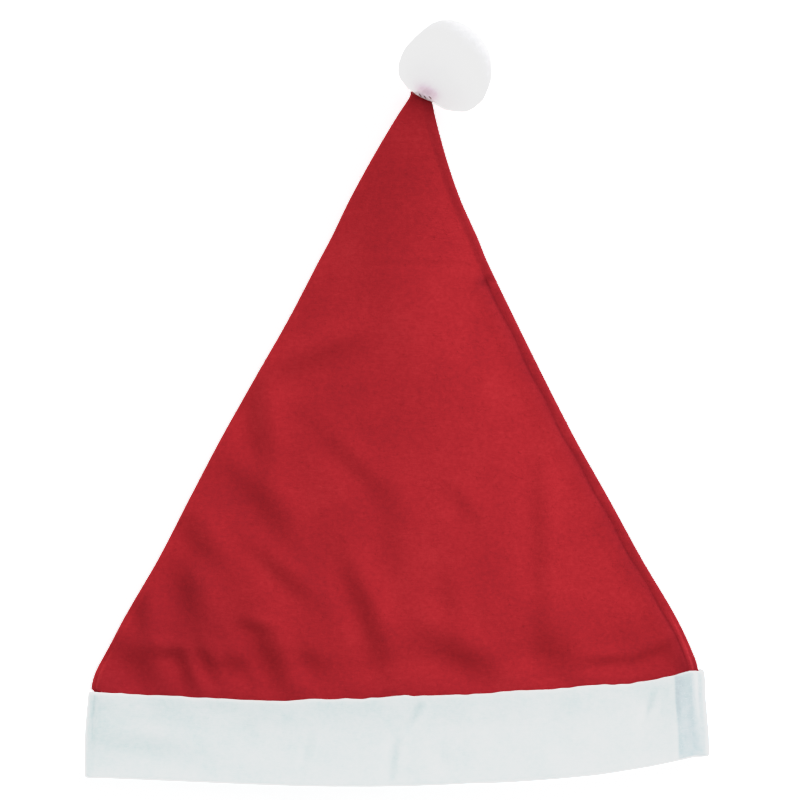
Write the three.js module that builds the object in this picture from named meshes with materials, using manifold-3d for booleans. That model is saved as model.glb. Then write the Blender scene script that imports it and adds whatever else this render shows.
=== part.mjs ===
// A felt santa hat laid flat on a table: a folded red crown sewn up its right side, a white band
// round the hem, and a white pompom sewn to the tip. Millimetres, +Z up, the hem towards -Y.
import * as THREE from "three";
import { mergeVertices } from "three/addons/utils/BufferGeometryUtils.js";
import Module from "manifold-3d";

// Plan of the laid hat
const hemWidth = 290;
const hatLength = 320;
const tipLean = 11;
const hemRise = 13.5;

// Felt
const crownWall = 1.5;
const bandWall = 2.2;
const bandHeight = 41;
const bandOverlap = 14;
const clearance = 0.3;

// How the felt lies
const mouthLoft = 18;
const tipLift = 12;
const foldRadius = 3.6;
const foldRadiusShare = 0.7;
const domeSharpness = 1.5;
const bandStepFade = 16;
const foldWidth = 7;
const foldDrop = 2.4;
const edgeFade = 9;

// Side seam of the crown, with its turned-in allowance, and join of the band, all measured
// inwards from the right shoulder of the front
const seamDepth = 0.9;
const seamReach = 1.4;
const seamTop = 232;
const joinInset = 5;
const joinReach = 1.2;
const joinDepth = 0.6;
const allowanceStart = joinInset - joinReach;
const allowanceEnd = joinInset + joinReach;
const allowanceWidth = 9.4;
const allowanceLift = 0.7;

// Pompom
const pompomRadius = 21.4;
const pompomHeading = THREE.MathUtils.degToRad(52);
const pompomSquash = 1.6;
const seatDepth = 2.8;
const tuftLength = 11;
const tuftWidth = 14.5;
const tuftCount = 29;
const tuftLean = 0.12;
const tuftUneven = 0.5;
const ballInset = 1.8;

// Mesh density
const frontSteps = 30;
const backSteps = 10;
const turnSteps = 4;
const crownRows = 29;
const overlapRows = 3;
const freeBandRows = 4;
const squeezeRun = 40;
const edgeRound = 0.7;
const probe = 0.4;

// Half width and lean of the crown, how high its front is lofted and how far the pompom lifts it.
const sections = [
  { along: 0.0, half: 1.0, lean: 0.0, loft: 1.0, lift: 0.0 },
  { along: 0.066, half: 1.0, lean: 0.0, loft: 1.04, lift: 0.0 },
  { along: 0.128, half: 0.99, lean: 0.0, loft: 1.08, lift: 0.0 },
  { along: 0.158, half: 0.984, lean: 0.04, loft: 1.1, lift: 0.0 },
  { along: 0.182, half: 0.968, lean: 0.1, loft: 1.1, lift: 0.0 },
  { along: 0.24, half: 0.906, lean: 0.14, loft: 1.09, lift: 0.0 },
  { along: 0.327, half: 0.792, lean: 0.13, loft: 1.04, lift: 0.0 },
  { along: 0.414, half: 0.688, lean: 0.09, loft: 0.99, lift: 0.0 },
  { along: 0.501, half: 0.582, lean: 0.04, loft: 0.93, lift: 0.0 },
  { along: 0.588, half: 0.477, lean: 0.1, loft: 0.86, lift: 0.0 },
  { along: 0.675, half: 0.373, lean: 0.2, loft: 0.78, lift: 0.01 },
  { along: 0.762, half: 0.275, lean: 0.25, loft: 0.7, lift: 0.05 },
  { along: 0.794, half: 0.241, lean: 0.31, loft: 0.66, lift: 0.12 },
  { along: 0.85, half: 0.182, lean: 0.34, loft: 0.58, lift: 0.34 },
  { along: 0.908, half: 0.1235, lean: 0.51, loft: 0.47, lift: 0.66 },
  { along: 0.966, half: 0.067, lean: 0.78, loft: 0.36, lift: 0.93 },
  { along: 1.0, half: 0.034, lean: 1.0, loft: 0.31, lift: 1.0 },
];

// Across the hat, how far the hem and the top of the band lie above the hem's lowest point,
// and how much further the back's hem reaches than the front's.
const hemLine = [
  { across: -1.0, hem: 0.27, top: 0.16, peek: 0.0 },
  { across: -0.7, hem: 0.17, top: -0.01, peek: 0.0 },
  { across: -0.3, hem: 0.04, top: -0.06, peek: 0.0 },
  { across: 0.0, hem: 0.0, top: 0.07, peek: 0.04 },
  { across: 0.3, hem: 0.03, top: 0.16, peek: 0.13 },
  { across: 0.5, hem: 0.15, top: 0.31, peek: 0.16 },
  { across: 0.7, hem: 0.35, top: 0.44, peek: 0.11 },
  { across: 0.85, hem: 0.63, top: 0.56, peek: 0.05 },
  { across: 1.0, hem: 1.0, top: 0.92, peek: 0.0 },
];

// Soft folds of the front, each a crest on the left of its bent line and a dip on its right.
const folds = [
  { x0: -0.98, y0: 0.4, x1: -0.81, y1: 0.344, x2: -0.78, y2: 0.25, width: 1.1, drop: 1.0 },
  { x0: -0.96, y0: 0.265, x1: -0.9, y1: 0.195, x2: -0.79, y2: 0.145, width: 1.0, drop: 0.9 },
  { x0: -0.8, y0: 0.2, x1: -0.72, y1: 0.172, x2: -0.66, y2: 0.13, width: 0.7, drop: 0.5 },
  { x0: -0.68, y0: 0.2, x1: -0.63, y1: 0.17, x2: -0.6, y2: 0.13, width: 0.65, drop: 0.5 },
  { x0: -0.49, y0: 0.24, x1: -0.41, y1: 0.203, x2: -0.35, y2: 0.135, width: 0.95, drop: 0.7 },
  { x0: -0.27, y0: 0.35, x1: -0.14, y1: 0.269, x2: -0.06, y2: 0.145, width: 0.8, drop: 0.7 },
  { x0: -0.64, y0: 0.355, x1: -0.51, y1: 0.309, x2: -0.38, y2: 0.27, width: 0.75, drop: 0.4 },
  { x0: -0.94, y0: 0.46, x1: -0.69, y1: 0.431, x2: -0.45, y2: 0.34, width: 0.85, drop: 0.5 },
  { x0: -0.9, y0: 0.6, x1: -0.83, y1: 0.523, x2: -0.67, y2: 0.44, width: 1.0, drop: 0.5 },
  { x0: -0.6, y0: 0.52, x1: -0.14, y1: 0.457, x2: 0.02, y2: 0.31, width: 1.6, drop: 0.6 },
  { x0: 0.77, y0: 0.49, x1: 0.62, y1: 0.37, x2: 0.46, y2: 0.2, width: 1.5, drop: 0.7 },
  { x0: 0.14, y0: 0.24, x1: 0.22, y1: 0.199, x2: 0.36, y2: 0.16, width: 1.0, drop: 0.5 },
  { x0: 0.54, y0: 0.174, x1: 0.76, y1: 0.18, x2: 0.98, y2: 0.214, width: 0.6, drop: 0.4 },
  { x0: -0.48, y0: 0.748, x1: 0.08, y1: 0.757, x2: 0.71, y2: 0.751, width: 0.9, drop: 0.4 },
  { x0: -0.87, y0: 0.57, x1: -0.54, y1: 0.629, x2: -0.1, y2: 0.72, width: 2.0, drop: 0.5 },
  { x0: 0.08, y0: 0.12, x1: 0.0, y1: 0.073, x2: -0.03, y2: 0.0, width: 0.7, drop: 0.35 },
];

// Fullness of the pompom in some directions.
const swells = [
  { turn: -55, tilt: 0, share: 0.13 },
  { turn: -10, tilt: 30, share: 0.01 },
  { turn: 60, tilt: 10, share: 0.04 },
  { turn: 140, tilt: 0, share: -0.1 },
  { turn: 195, tilt: -5, share: 0.08 },
  { turn: 270, tilt: 60, share: 0.03 },
];

const wasm = await Module();
wasm.setup();

// Steps shared by the shapes

const smooth = (share) => THREE.MathUtils.smoothstep(share, 0, 1);

// Value of a column of a table, on a smooth line through its rows.
function read(table, key, column, at) {
  const last = table.length - 1;
  let row = 0;
  while (row < last - 1 && at > table[row + 1][key]) row += 1;
  const slope = (i) => {
    const a = table[Math.max(i - 1, 0)];
    const b = table[Math.min(i + 1, last)];
    return (b[column] - a[column]) / (b[key] - a[key]);
  };
  const [from, to] = [table[row], table[row + 1]];
  const span = to[key] - from[key];
  const t = THREE.MathUtils.clamp((at - from[key]) / span, 0, 1);
  const start = (2 * t ** 3 - 3 * t ** 2 + 1) * from[column];
  const end = (3 * t ** 2 - 2 * t ** 3) * to[column];
  const lean = (t ** 3 - 2 * t ** 2 + t) * slope(row) + (t ** 3 - t ** 2) * slope(row + 1);
  return start + end + lean * span;
}

// A closed body whose faces are given by corner numbers.
function bodyOf(corners, faces) {
  const body = new THREE.BufferGeometry();
  body.setAttribute("position", new THREE.Float32BufferAttribute(corners.flatMap((c) => c.toArray()), 3));
  body.setIndex(faces);
  return body;
}

function toSolid(geometry) {
  const bare = geometry.clone();
  bare.deleteAttribute("normal");
  bare.deleteAttribute("uv");
  const merged = mergeVertices(bare, 1e-4);
  return new wasm.Manifold(
    new wasm.Mesh({
      numProp: 3,
      vertProperties: merged.attributes.position.array,
      triVerts: new Uint32Array(merged.index.array),
    }),
  );
}

function toGeometry(solid) {
  const mesh = solid.getMesh();
  const geometry = new THREE.BufferGeometry();
  geometry.setAttribute("position", new THREE.Float32BufferAttribute(mesh.vertProperties, 3));
  geometry.setIndex(Array.from(mesh.triVerts));
  return geometry;
}

// The crown's skin: the surface in the middle of its felt

const bandStep = bandWall + clearance + crownWall / 2;
const hatHalf = hemWidth / 2 - bandWall - clearance;
const middleX = (y) => tipLean * read(sections, "along", "lean", y / hatLength);
const skinHalf = (y) => hatHalf * read(sections, "along", "half", y / hatLength) - crownWall / 2;

// Length along the hat of a point of the felt, whose hem and band follow the hem line.
function lengthAt(across, felt, onBack) {
  const peek = read(hemLine, "across", "peek", across) * (onBack ? 0 : hemRise);
  const hem = read(hemLine, "across", "hem", across) * hemRise + peek;
  const top = read(hemLine, "across", "top", across) * hemRise;
  const overBand = THREE.MathUtils.clamp(felt / bandHeight, 0, 1);
  const fade = 1 - smooth((felt - bandHeight) / (hatLength / 2));
  return felt + THREE.MathUtils.lerp(hem, top, overBand) * fade;
}

// Height of the underside: on the band's step at the hem, flat on the table, then up to the tip.
function underside(felt) {
  const step = (bandStep - crownWall / 2) * (1 - smooth((felt - bandHeight) / bandStepFade));
  return crownWall / 2 + step + tipLift * read(sections, "along", "lift", felt / hatLength);
}

// Places a share of the half width across and a share of the length along as a point of the plan.
function planPoint(across, along) {
  const y = along * hatLength;
  return new THREE.Vector2(middleX(y) + across * skinHalf(y), y);
}

// Each fold's line, bent through its middle point.
const foldLines = folds.map((fold) => {
  const from = planPoint(fold.x0, fold.y0);
  const via = planPoint(fold.x1, fold.y1);
  const to = planPoint(fold.x2, fold.y2);
  const bend = via.multiplyScalar(2).sub(from.clone().add(to).multiplyScalar(0.5));
  const points = new THREE.QuadraticBezierCurve(from, bend, to).getPoints(8);
  return { points, width: fold.width * foldWidth, drop: fold.drop * foldDrop };
});

// Height that one fold adds at a point: a crest on one side of its line and a dip on the other.
function foldHeight(line, x, y) {
  const best = { gap: Infinity, side: 0, share: 0 };
  const runs = line.points.length - 1;
  for (let i = 0; i < runs; i += 1) {
    const [from, to] = [line.points[i], line.points[i + 1]];
    const [alongX, alongY] = [to.x - from.x, to.y - from.y];
    const reach = ((x - from.x) * alongX + (y - from.y) * alongY) / (alongX ** 2 + alongY ** 2);
    const share = THREE.MathUtils.clamp(reach, 0, 1);
    const [awayX, awayY] = [x - from.x - share * alongX, y - from.y - share * alongY];
    const gap = Math.hypot(awayX, awayY);
    if (gap < best.gap) {
      best.gap = gap;
      best.side = gap * Math.sign(alongX * awayY - alongY * awayX);
      best.share = (i + share) / runs;
    }
  }
  const off = best.side / line.width;
  return line.drop * Math.sin(Math.PI * best.share) * off * Math.exp((1 - off ** 2) / 2);
}

// Sizes of the section of the hat at a point of the felt.
function sectionAt(across, felt, onBack) {
  const y = lengthAt(across, felt, onBack);
  const half = skinHalf(y);
  const low = underside(felt);
  const loft = mouthLoft * read(sections, "along", "loft", y / hatLength);
  const turn = Math.min(foldRadius, loft / 2, half * foldRadiusShare);
  return { y, low, loft, turn, middle: middleX(y), run: 2 * (half - turn) };
}

// Dip of the seam at the right shoulder and the rise of its allowance beside it.
function seamHeight(inboard, felt) {
  const shown = smooth((felt - bandHeight) / edgeFade) * (1 - smooth((felt - seamTop) / edgeFade));
  const groove = Math.max(0, 1 - Math.abs(inboard) / seamReach);
  const rise = smooth((inboard - seamReach) / (allowanceStart - seamReach));
  const fall = smooth((inboard - allowanceEnd) / (allowanceWidth - allowanceEnd));
  return shown * (allowanceLift * rise * (1 - fall) - seamDepth * groove);
}

// The front of the hat, domed, folded and seamed, from its left shoulder to its right one.
function frontPoint(share, felt) {
  const across = 2 * share - 1;
  const cut = sectionAt(across, felt, false);
  const x = cut.middle + (across * cut.run) / 2;
  const inboard = (1 - share) * cut.run;
  const edge = smooth(Math.min(inboard, share * cut.run) / edgeFade);
  const dome = (cut.loft - 2 * cut.turn) * (1 - across ** 2) ** domeSharpness;
  const relief = foldLines.reduce((sum, line) => sum + foldHeight(line, x, cut.y), 0);
  const top = cut.low + 2 * cut.turn + dome;
  return new THREE.Vector3(x, cut.y, top + edge * relief + seamHeight(inboard, felt));
}

// The flat back of the hat, from its right shoulder to its left one.
function backPoint(share, felt) {
  const across = 1 - 2 * share;
  const cut = sectionAt(across, felt, true);
  return new THREE.Vector3(cut.middle + (across * cut.run) / 2, cut.y, cut.low);
}

// A turned side of the hat, round from the front to the back on the right, where the seam is,
// and from the back to the front on the left.
function sidePoint(across, share, felt) {
  const cut = sectionAt(across, felt, false);
  const angle = Math.PI * (across > 0 ? 0.5 - share : 1.5 - share);
  const dip = across > 0 ? seamHeight(-share * Math.PI * cut.turn, felt) : 0;
  const x = cut.middle + (across * cut.run) / 2 + (cut.turn + dip) * Math.cos(angle);
  return new THREE.Vector3(x, cut.y, cut.low + cut.turn + (cut.turn + dip) * Math.sin(angle));
}

// Point of the skin. Around the hat, 0 to 1 is the front from left to right, 1 to 2 the right
// side, 2 to 3 the back and 3 to 4 the left side.
function skinPoint(around, felt) {
  const turned = (around + 4) % 4;
  const side = Math.floor(turned);
  const share = turned - side;
  if (side === 0) return frontPoint(share, felt);
  if (side === 1) return sidePoint(1, share, felt);
  if (side === 2) return backPoint(share, felt);
  return sidePoint(-1, share, felt);
}

// The next station round the hat, a short way on or back.
function beside(around, shift, felt) {
  const turned = (around + 4) % 4;
  const side = (shift > 0 ? Math.floor(turned) : Math.ceil(turned) + 3) % 4;
  const cut = sectionAt(side < 2 ? 1 : -1, felt, false);
  const length = side % 2 === 0 ? cut.run : Math.PI * cut.turn;
  return around + shift / length;
}

// Point a set distance outside the skin, or inside it where the distance is negative.
function feltPoint(around, felt, outside) {
  const on = skinPoint(beside(around, probe, felt), felt);
  const back = skinPoint(beside(around, -probe, felt), felt);
  const up = skinPoint(around, felt + probe);
  const down = skinPoint(around, felt - probe);
  const normal = on.sub(back).cross(up.sub(down)).normalize();
  return skinPoint(around, felt).addScaledVector(normal, outside);
}

// Stations round the hat at a length of the felt, close together beside the seam and the join.
function stationsAt(felt) {
  const { run } = sectionAt(1, felt, false);
  const perMillimetre = Math.min(1 / run, 1 / squeezeRun);
  const insets = [allowanceWidth, allowanceEnd, joinInset, allowanceStart, seamReach];
  const plain = 1 - allowanceWidth * perMillimetre;
  return [
    ...Array.from({ length: frontSteps }, (_, i) => (plain * i) / frontSteps),
    ...insets.map((inset) => 1 - inset * perMillimetre),
    ...Array.from({ length: turnSteps }, (_, i) => 1 + i / turnSteps),
    ...Array.from({ length: backSteps }, (_, i) => 2 + i / backSteps),
    ...Array.from({ length: turnSteps }, (_, i) => 3 + i / turnSteps),
  ];
}

// A felt wall swept round the hat through the rows of its profile, each at a length of the felt
// and a distance outside the skin. A ring of rows closes on itself, and an open profile is capped.
function sweep(profile, isRing) {
  const count = stationsAt(0).length;
  const corners = profile.flatMap((row) =>
    stationsAt(row.felt).map((around) => {
      const dent = row.dent ? row.dent(around, row.felt) : 0;
      return feltPoint(around, row.felt, row.outside - dent);
    }),
  );
  const faces = [];
  const rows = isRing ? profile.length : profile.length - 1;
  for (let row = 0; row < rows; row += 1) {
    const next = (row + 1) % profile.length;
    const rising = profile[next].felt > profile[row].felt;
    for (let i = 0; i < count; i += 1) {
      const [a, b] = [row * count + i, row * count + ((i + 1) % count)];
      const [d, c] = [next * count + i, next * count + ((i + 1) % count)];
      faces.push(...(rising ? [a, b, c, a, c, d] : [a, b, d, b, c, d]));
    }
  }
  if (!isRing) {
    capRing(corners, faces, 0, count, true);
    capRing(corners, faces, (profile.length - 1) * count, count, false);
  }
  return bodyOf(corners, faces);
}

// Closes a ring of corners with a fan from its middle.
function capRing(corners, faces, first, count, reversed) {
  const middle = new THREE.Vector3();
  for (let i = 0; i < count; i += 1) middle.addScaledVector(corners[first + i], 1 / count);
  const hub = corners.push(middle) - 1;
  for (let i = 0; i < count; i += 1) {
    const edge = [first + i, first + ((i + 1) % count)];
    faces.push(hub, ...(reversed ? edge.reverse() : edge));
  }
}

const rowsBetween = (from, to, steps) =>
  Array.from({ length: steps + 1 }, (_, i) => THREE.MathUtils.lerp(from, to, i / steps));

// Crown: one folded panel of red felt, open at the hem and closed at the tip

const crownHem = bandHeight - bandOverlap;
const overlapLengths = rowsBetween(crownHem, bandHeight, overlapRows);
const crownLengths = [...overlapLengths, ...rowsBetween(bandHeight, hatLength, crownRows).slice(1)];

function makeCrown() {
  const outer = crownLengths.map((felt) => ({ felt, outside: crownWall / 2 }));
  const inner = crownLengths.map((felt) => ({
    felt: Math.min(felt, hatLength - crownWall),
    outside: -crownWall / 2,
  }));
  return sweep([...inner.reverse(), ...outer], false);
}

// Band: a doubled strip of white felt round the hem, joined near its right end

const bandInside = crownWall / 2 + clearance;
const bandOutside = bandInside + bandWall;

// Depth of the groove where the ends of the strip meet.
function joinDent(around, felt) {
  if (around > 1) return 0;
  const inboard = (1 - around) * sectionAt(1, felt, false).run;
  return joinDepth * Math.max(0, 1 - Math.abs(inboard - joinInset) / joinReach);
}

function makeBand() {
  const lengths = [
    ...rowsBetween(edgeRound, crownHem, freeBandRows),
    ...overlapLengths.slice(1, -1),
    bandHeight - edgeRound,
  ];
  const rowAt = (outside, dent) => (felt) => ({ felt, outside, dent });
  const middle = (bandInside + bandOutside) / 2;
  return sweep(
    [
      ...lengths.map(rowAt(bandOutside, joinDent)),
      rowAt(middle)(bandHeight),
      ...lengths.map(rowAt(bandInside)).reverse(),
      rowAt(middle)(0),
    ],
    true,
  );
}

// Pompom: a ball of soft tufts, pressed flat on the table and seated on the crown's tip

const tipMiddle = new THREE.Vector3(
  middleX(hatLength),
  hatLength,
  underside(hatLength) + sectionAt(0, hatLength, false).loft / 2,
);
const pompomReach = pompomRadius - seatDepth;
const pompomCentre = new THREE.Vector3(
  tipMiddle.x + pompomReach * Math.cos(pompomHeading),
  tipMiddle.y + pompomReach * Math.sin(pompomHeading),
  pompomRadius - pompomSquash,
);

const headings = swells.map((swell) => {
  const turn = THREE.MathUtils.degToRad(swell.turn);
  const tilt = THREE.MathUtils.degToRad(swell.tilt);
  const level = Math.cos(tilt);
  return new THREE.Vector3(level * Math.cos(turn), level * Math.sin(turn), Math.sin(tilt));
});

// Size of the pompom in a direction, as a share of its radius.
function fullness(direction) {
  return swells.reduce((sum, swell, i) => {
    return sum + swell.share * Math.max(0, headings[i].dot(direction)) ** 3;
  }, 1);
}

function makeBall() {
  const ball = new THREE.IcosahedronGeometry(1, 2);
  const corner = new THREE.Vector3();
  const places = ball.attributes.position;
  for (let i = 0; i < places.count; i += 1) {
    corner.fromBufferAttribute(places, i).normalize();
    corner.multiplyScalar(fullness(corner) * (pompomRadius - ballInset));
    places.setXYZ(i, corner.x, corner.y, corner.z);
  }
  return ball;
}

// Rounded tufts, spread evenly over the ball and leaning a little each its own way.
function makeTufts() {
  const golden = Math.PI * (3 - Math.sqrt(5));
  const up = new THREE.Vector3(0, 1, 0);
  return Array.from({ length: tuftCount }, (_, i) => {
    const height = 1 - (2 * i + 1) / tuftCount;
    const level = Math.sqrt(1 - height ** 2);
    const out = new THREE.Vector3(level * Math.cos(i * golden), level * Math.sin(i * golden), height);
    const lean = new THREE.Vector3(Math.sin(i * 12.7), Math.sin(i * 7.3), Math.sin(i * 4.1));
    const end = pompomRadius * fullness(out) + tuftUneven * Math.sin(i * 5.9);
    const tuft = new THREE.IcosahedronGeometry(1, 1);
    tuft.scale(tuftWidth / 2, tuftLength / 2, tuftWidth / 2);
    tuft.translate(0, end - tuftLength / 2, 0);
    const aim = out.clone().addScaledVector(lean, tuftLean).normalize();
    return tuft.applyQuaternion(new THREE.Quaternion().setFromUnitVectors(up, aim));
  });
}

// The end of the crown, with the clearance all round it, which dents the pompom.
function makeSeat() {
  const rows = crownLengths.filter((felt) => felt > hatLength - pompomRadius);
  const outside = crownWall / 2 + clearance;
  const ends = rows.map((felt) => ({ felt, outside }));
  return sweep([...ends, { felt: hatLength + clearance, outside }], false);
}

function makePompom() {
  const pile = [makeBall(), ...makeTufts()].map((piece) =>
    toSolid(piece.translate(...pompomCentre.toArray())),
  );
  const span = 4 * pompomRadius;
  const aboveTable = new THREE.BoxGeometry(span, span, span);
  aboveTable.translate(pompomCentre.x, pompomCentre.y, span / 2);
  const fused = wasm.Manifold.union(pile).intersect(toSolid(aboveTable));
  return toGeometry(fused.subtract(toSolid(makeSeat())));
}

// Assembly

const redFelt = new THREE.MeshStandardMaterial({ color: "#b02f35", roughness: 0.95, metalness: 0 });
redFelt.name = "red_felt";
const whiteFelt = new THREE.MeshStandardMaterial({ color: "#e6ebeb", roughness: 0.95, metalness: 0 });
whiteFelt.name = "white_felt";
const whiteTufts = new THREE.MeshStandardMaterial({ color: "#eeeef1", roughness: 1, metalness: 0 });
whiteTufts.name = "white_tufts";

const hat = new THREE.Group();
const addPiece = (name, geometry, material) => {
  const piece = new THREE.Mesh(geometry, material);
  piece.name = name;
  hat.add(piece);
};
addPiece("crown", makeCrown(), redFelt);
addPiece("band", makeBand(), whiteFelt);
addPiece("pompom", makePompom(), whiteTufts);

// The origin is the middle of the hat's plan, on the table.
const extent = new THREE.Box3().setFromObject(hat);
const planMiddle = extent.getCenter(new THREE.Vector3());
hat.children.forEach((piece) => piece.geometry.translate(-planMiddle.x, -planMiddle.y, -extent.min.z));

export default hat;
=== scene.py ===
import math

import bmesh
import bpy
import numpy as np
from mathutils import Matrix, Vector, bvhtree, noise


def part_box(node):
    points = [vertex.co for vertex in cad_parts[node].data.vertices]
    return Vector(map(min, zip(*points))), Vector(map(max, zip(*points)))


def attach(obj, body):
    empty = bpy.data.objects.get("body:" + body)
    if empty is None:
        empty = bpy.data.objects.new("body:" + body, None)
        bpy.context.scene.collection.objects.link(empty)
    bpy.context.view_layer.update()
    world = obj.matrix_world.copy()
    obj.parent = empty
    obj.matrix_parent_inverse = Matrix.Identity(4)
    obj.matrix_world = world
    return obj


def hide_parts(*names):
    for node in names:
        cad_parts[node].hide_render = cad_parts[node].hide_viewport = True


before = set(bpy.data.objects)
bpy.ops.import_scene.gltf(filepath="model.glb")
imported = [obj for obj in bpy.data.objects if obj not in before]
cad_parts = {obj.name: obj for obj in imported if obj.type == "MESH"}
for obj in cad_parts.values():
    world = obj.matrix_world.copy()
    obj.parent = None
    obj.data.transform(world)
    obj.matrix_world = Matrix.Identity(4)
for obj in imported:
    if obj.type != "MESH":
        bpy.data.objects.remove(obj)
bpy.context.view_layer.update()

bandLow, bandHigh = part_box("band")
hemMiddle = np.array([(bandLow[0] + bandHigh[0]) / 2, bandLow[1], 0.0])  # x 0, y 0 of the hat's plan
outOfReach = 99.0  # millimetres, further than anything here looks
print("frame loaded")


# Shared steps

def toLinear(hexColour):
    parts = [int(hexColour[i : i + 2], 16) / 255 for i in (1, 3, 5)]
    return [c / 12.92 if c <= 0.04045 else ((c + 0.055) / 1.055) ** 2.4 for c in parts] + [1.0]


# Adds one node with its settings, and gives each named input a value or a link.
def addNode(tree, kind, inputs=None, **settings):
    node = tree.nodes.new(kind)
    for name, value in settings.items():
        setattr(node, name, value)
    for name, value in (inputs or {}).items():
        if isinstance(value, bpy.types.NodeSocket):
            tree.links.new(value, node.inputs[name])
        else:
            node.inputs[name].default_value = value
    return node


# Makes an object from corners in millimetres of the hat's plan and faces of corner numbers.
def makePiece(name, corners, faces, material):
    mesh = bpy.data.meshes.new(name)
    mesh.from_pydata((np.asarray(corners) / 1000 + hemMiddle).tolist(), [], faces)
    mesh.polygons.foreach_set("use_smooth", [True] * len(mesh.polygons))
    mesh.update()
    mesh.materials.append(material)
    piece = bpy.data.objects.new(name, mesh)
    bpy.context.scene.collection.objects.link(piece)
    return piece


def smooth(share):
    share = np.clip(share, 0, 1)
    return share * share * (3 - 2 * share)


# A smooth line through pairs of key and value, read at many keys at once.
def smoothLine(pairs, at):
    keys, values = np.array(pairs, float).T
    last = len(keys) - 1
    before = np.maximum(np.arange(last + 1) - 1, 0)
    after = np.minimum(np.arange(last + 1) + 1, last)
    slopes = (values[after] - values[before]) / (keys[after] - keys[before])
    row = np.clip(np.searchsorted(keys, at, side="right") - 1, 0, last - 1)
    span = keys[row + 1] - keys[row]
    t = np.clip((at - keys[row]) / span, 0, 1)
    level = (2 * t**3 - 3 * t**2 + 1) * values[row] + (3 * t**2 - 2 * t**3) * values[row + 1]
    lean = (t**3 - 2 * t**2 + t) * slopes[row] + (t**3 - t**2) * slopes[row + 1]
    return level + lean * span


# Soft bumps from -1 to 1 over the plan, about as far apart as the cell is wide.
def softBumps(x, y, cell, seed):
    values = np.random.default_rng(seed).uniform(-1, 1, (96, 96))
    column, row = np.asarray(x) / cell + 40, np.asarray(y) / cell + 12
    i, j = np.floor(column).astype(int), np.floor(row).astype(int)
    u, v = smooth(column - i), smooth(row - j)
    i, j = i % 95, j % 95
    low = values[j, i] * (1 - u) + values[j, i + 1] * u
    high = values[j + 1, i] * (1 - u) + values[j + 1, i + 1] * u
    return low * (1 - v) + high * v


# Rings of corners joined row by row, with the last ring joined to the first where it is a loop.
def ringFaces(rows, count, isLoop):
    faces = []
    for row in range(rows if isLoop else rows - 1):
        here, there = row * count, ((row + 1) % rows) * count
        for i in range(count):
            j = (i + 1) % count
            faces.append((here + i, here + j, there + j, there + i))
    return faces


# How the hat lies: plan, felt and folds, all in millimetres

hat = {
    "hemWidth": 290.0,
    "length": 320.0,
    "tipLean": 11.0,
    "hemRise": 13.5,
    "crownWall": 1.5,
    "bandWall": 2.2,
    "bandHeight": 41.0,
    "bandOverlap": 14.0,
    "gap": 0.3,
    "mouthLoft": 18.0,
    "tipLift": 12.0,
    "tipSkew": 2.0,
    "tipSkewRun": 20.0,
    "cornerSpread": 1.7,
    "cornerStart": 0.2,
    "cornerRise": 1.8,
    "cornerRun": 26.0,
    "cornerTightness": 4,
    "foldRadius": 3.6,
    "foldRadiusShare": 0.7,
    "domeSharpness": 1.15,
    "bandStepFade": 16.0,
    "edgeFade": 26.0,
    "edgeSquareness": 4.2,
    "leastRoom": 3.1,
    "roomSoftness": 1.0,
    "tuck": 3.0,
    "tuckRun": 36.0,
    "squeezeRun": 40.0,
}

# Along the hat: share of its length, then half width, lean of the middle, loft of the front, and
# lift by the pompom, each as a share of its own size.
sections = [
    (0.0, 1.0, 0.0, 1.0, 0.0),
    (0.066, 1.0, 0.0, 1.04, 0.0),
    (0.128, 0.99, 0.0, 1.08, 0.0),
    (0.158, 0.984, 0.04, 1.1, 0.0),
    (0.182, 0.968, 0.1, 1.1, 0.0),
    (0.24, 0.906, 0.14, 1.09, 0.0),
    (0.327, 0.792, 0.13, 1.04, 0.0),
    (0.414, 0.688, 0.09, 0.99, 0.0),
    (0.501, 0.582, 0.04, 0.93, 0.0),
    (0.588, 0.477, 0.1, 0.86, 0.0),
    (0.675, 0.373, 0.2, 0.78, 0.01),
    (0.762, 0.275, 0.25, 0.7, 0.05),
    (0.794, 0.241, 0.31, 0.66, 0.12),
    (0.85, 0.182, 0.34, 0.58, 0.34),
    (0.908, 0.1235, 0.51, 0.47, 0.66),
    (0.966, 0.067, 0.78, 0.36, 0.93),
    (1.0, 0.034, 1.0, 0.31, 1.0),
]
halfLine, leanLine, loftLine, liftLine = [
    [(row[0], row[i]) for row in sections] for i in (1, 2, 3, 4)
]

# Across the hat: share of its half width, then rise of the hem and of the band's top, and how much
# further the back's hem reaches, as shares of the hem's rise.
hemShape = [
    (-1.0, 0.27, 0.16, 0.0),
    (-0.7, 0.17, -0.01, 0.0),
    (-0.3, 0.04, -0.06, 0.0),
    (0.0, 0.0, 0.07, 0.04),
    (0.3, 0.03, 0.16, 0.13),
    (0.5, 0.15, 0.31, 0.16),
    (0.7, 0.35, 0.44, 0.11),
    (0.85, 0.63, 0.56, 0.05),
    (1.0, 1.0, 0.92, 0.0),
]
hemLine, topLine, peekLine = [[(row[0], row[i]) for row in hemShape] for i in (1, 2, 3)]

hatHalf = hat["hemWidth"] / 2 - hat["bandWall"] - hat["gap"]
bandStep = hat["bandWall"] + hat["gap"] + hat["crownWall"] / 2
crownHem = hat["bandHeight"] - hat["bandOverlap"]


def middleX(y):
    return hat["tipLean"] * smoothLine(leanLine, y / hat["length"])


def skinHalf(y):
    return hatHalf * smoothLine(halfLine, y / hat["length"]) - hat["crownWall"] / 2


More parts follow.
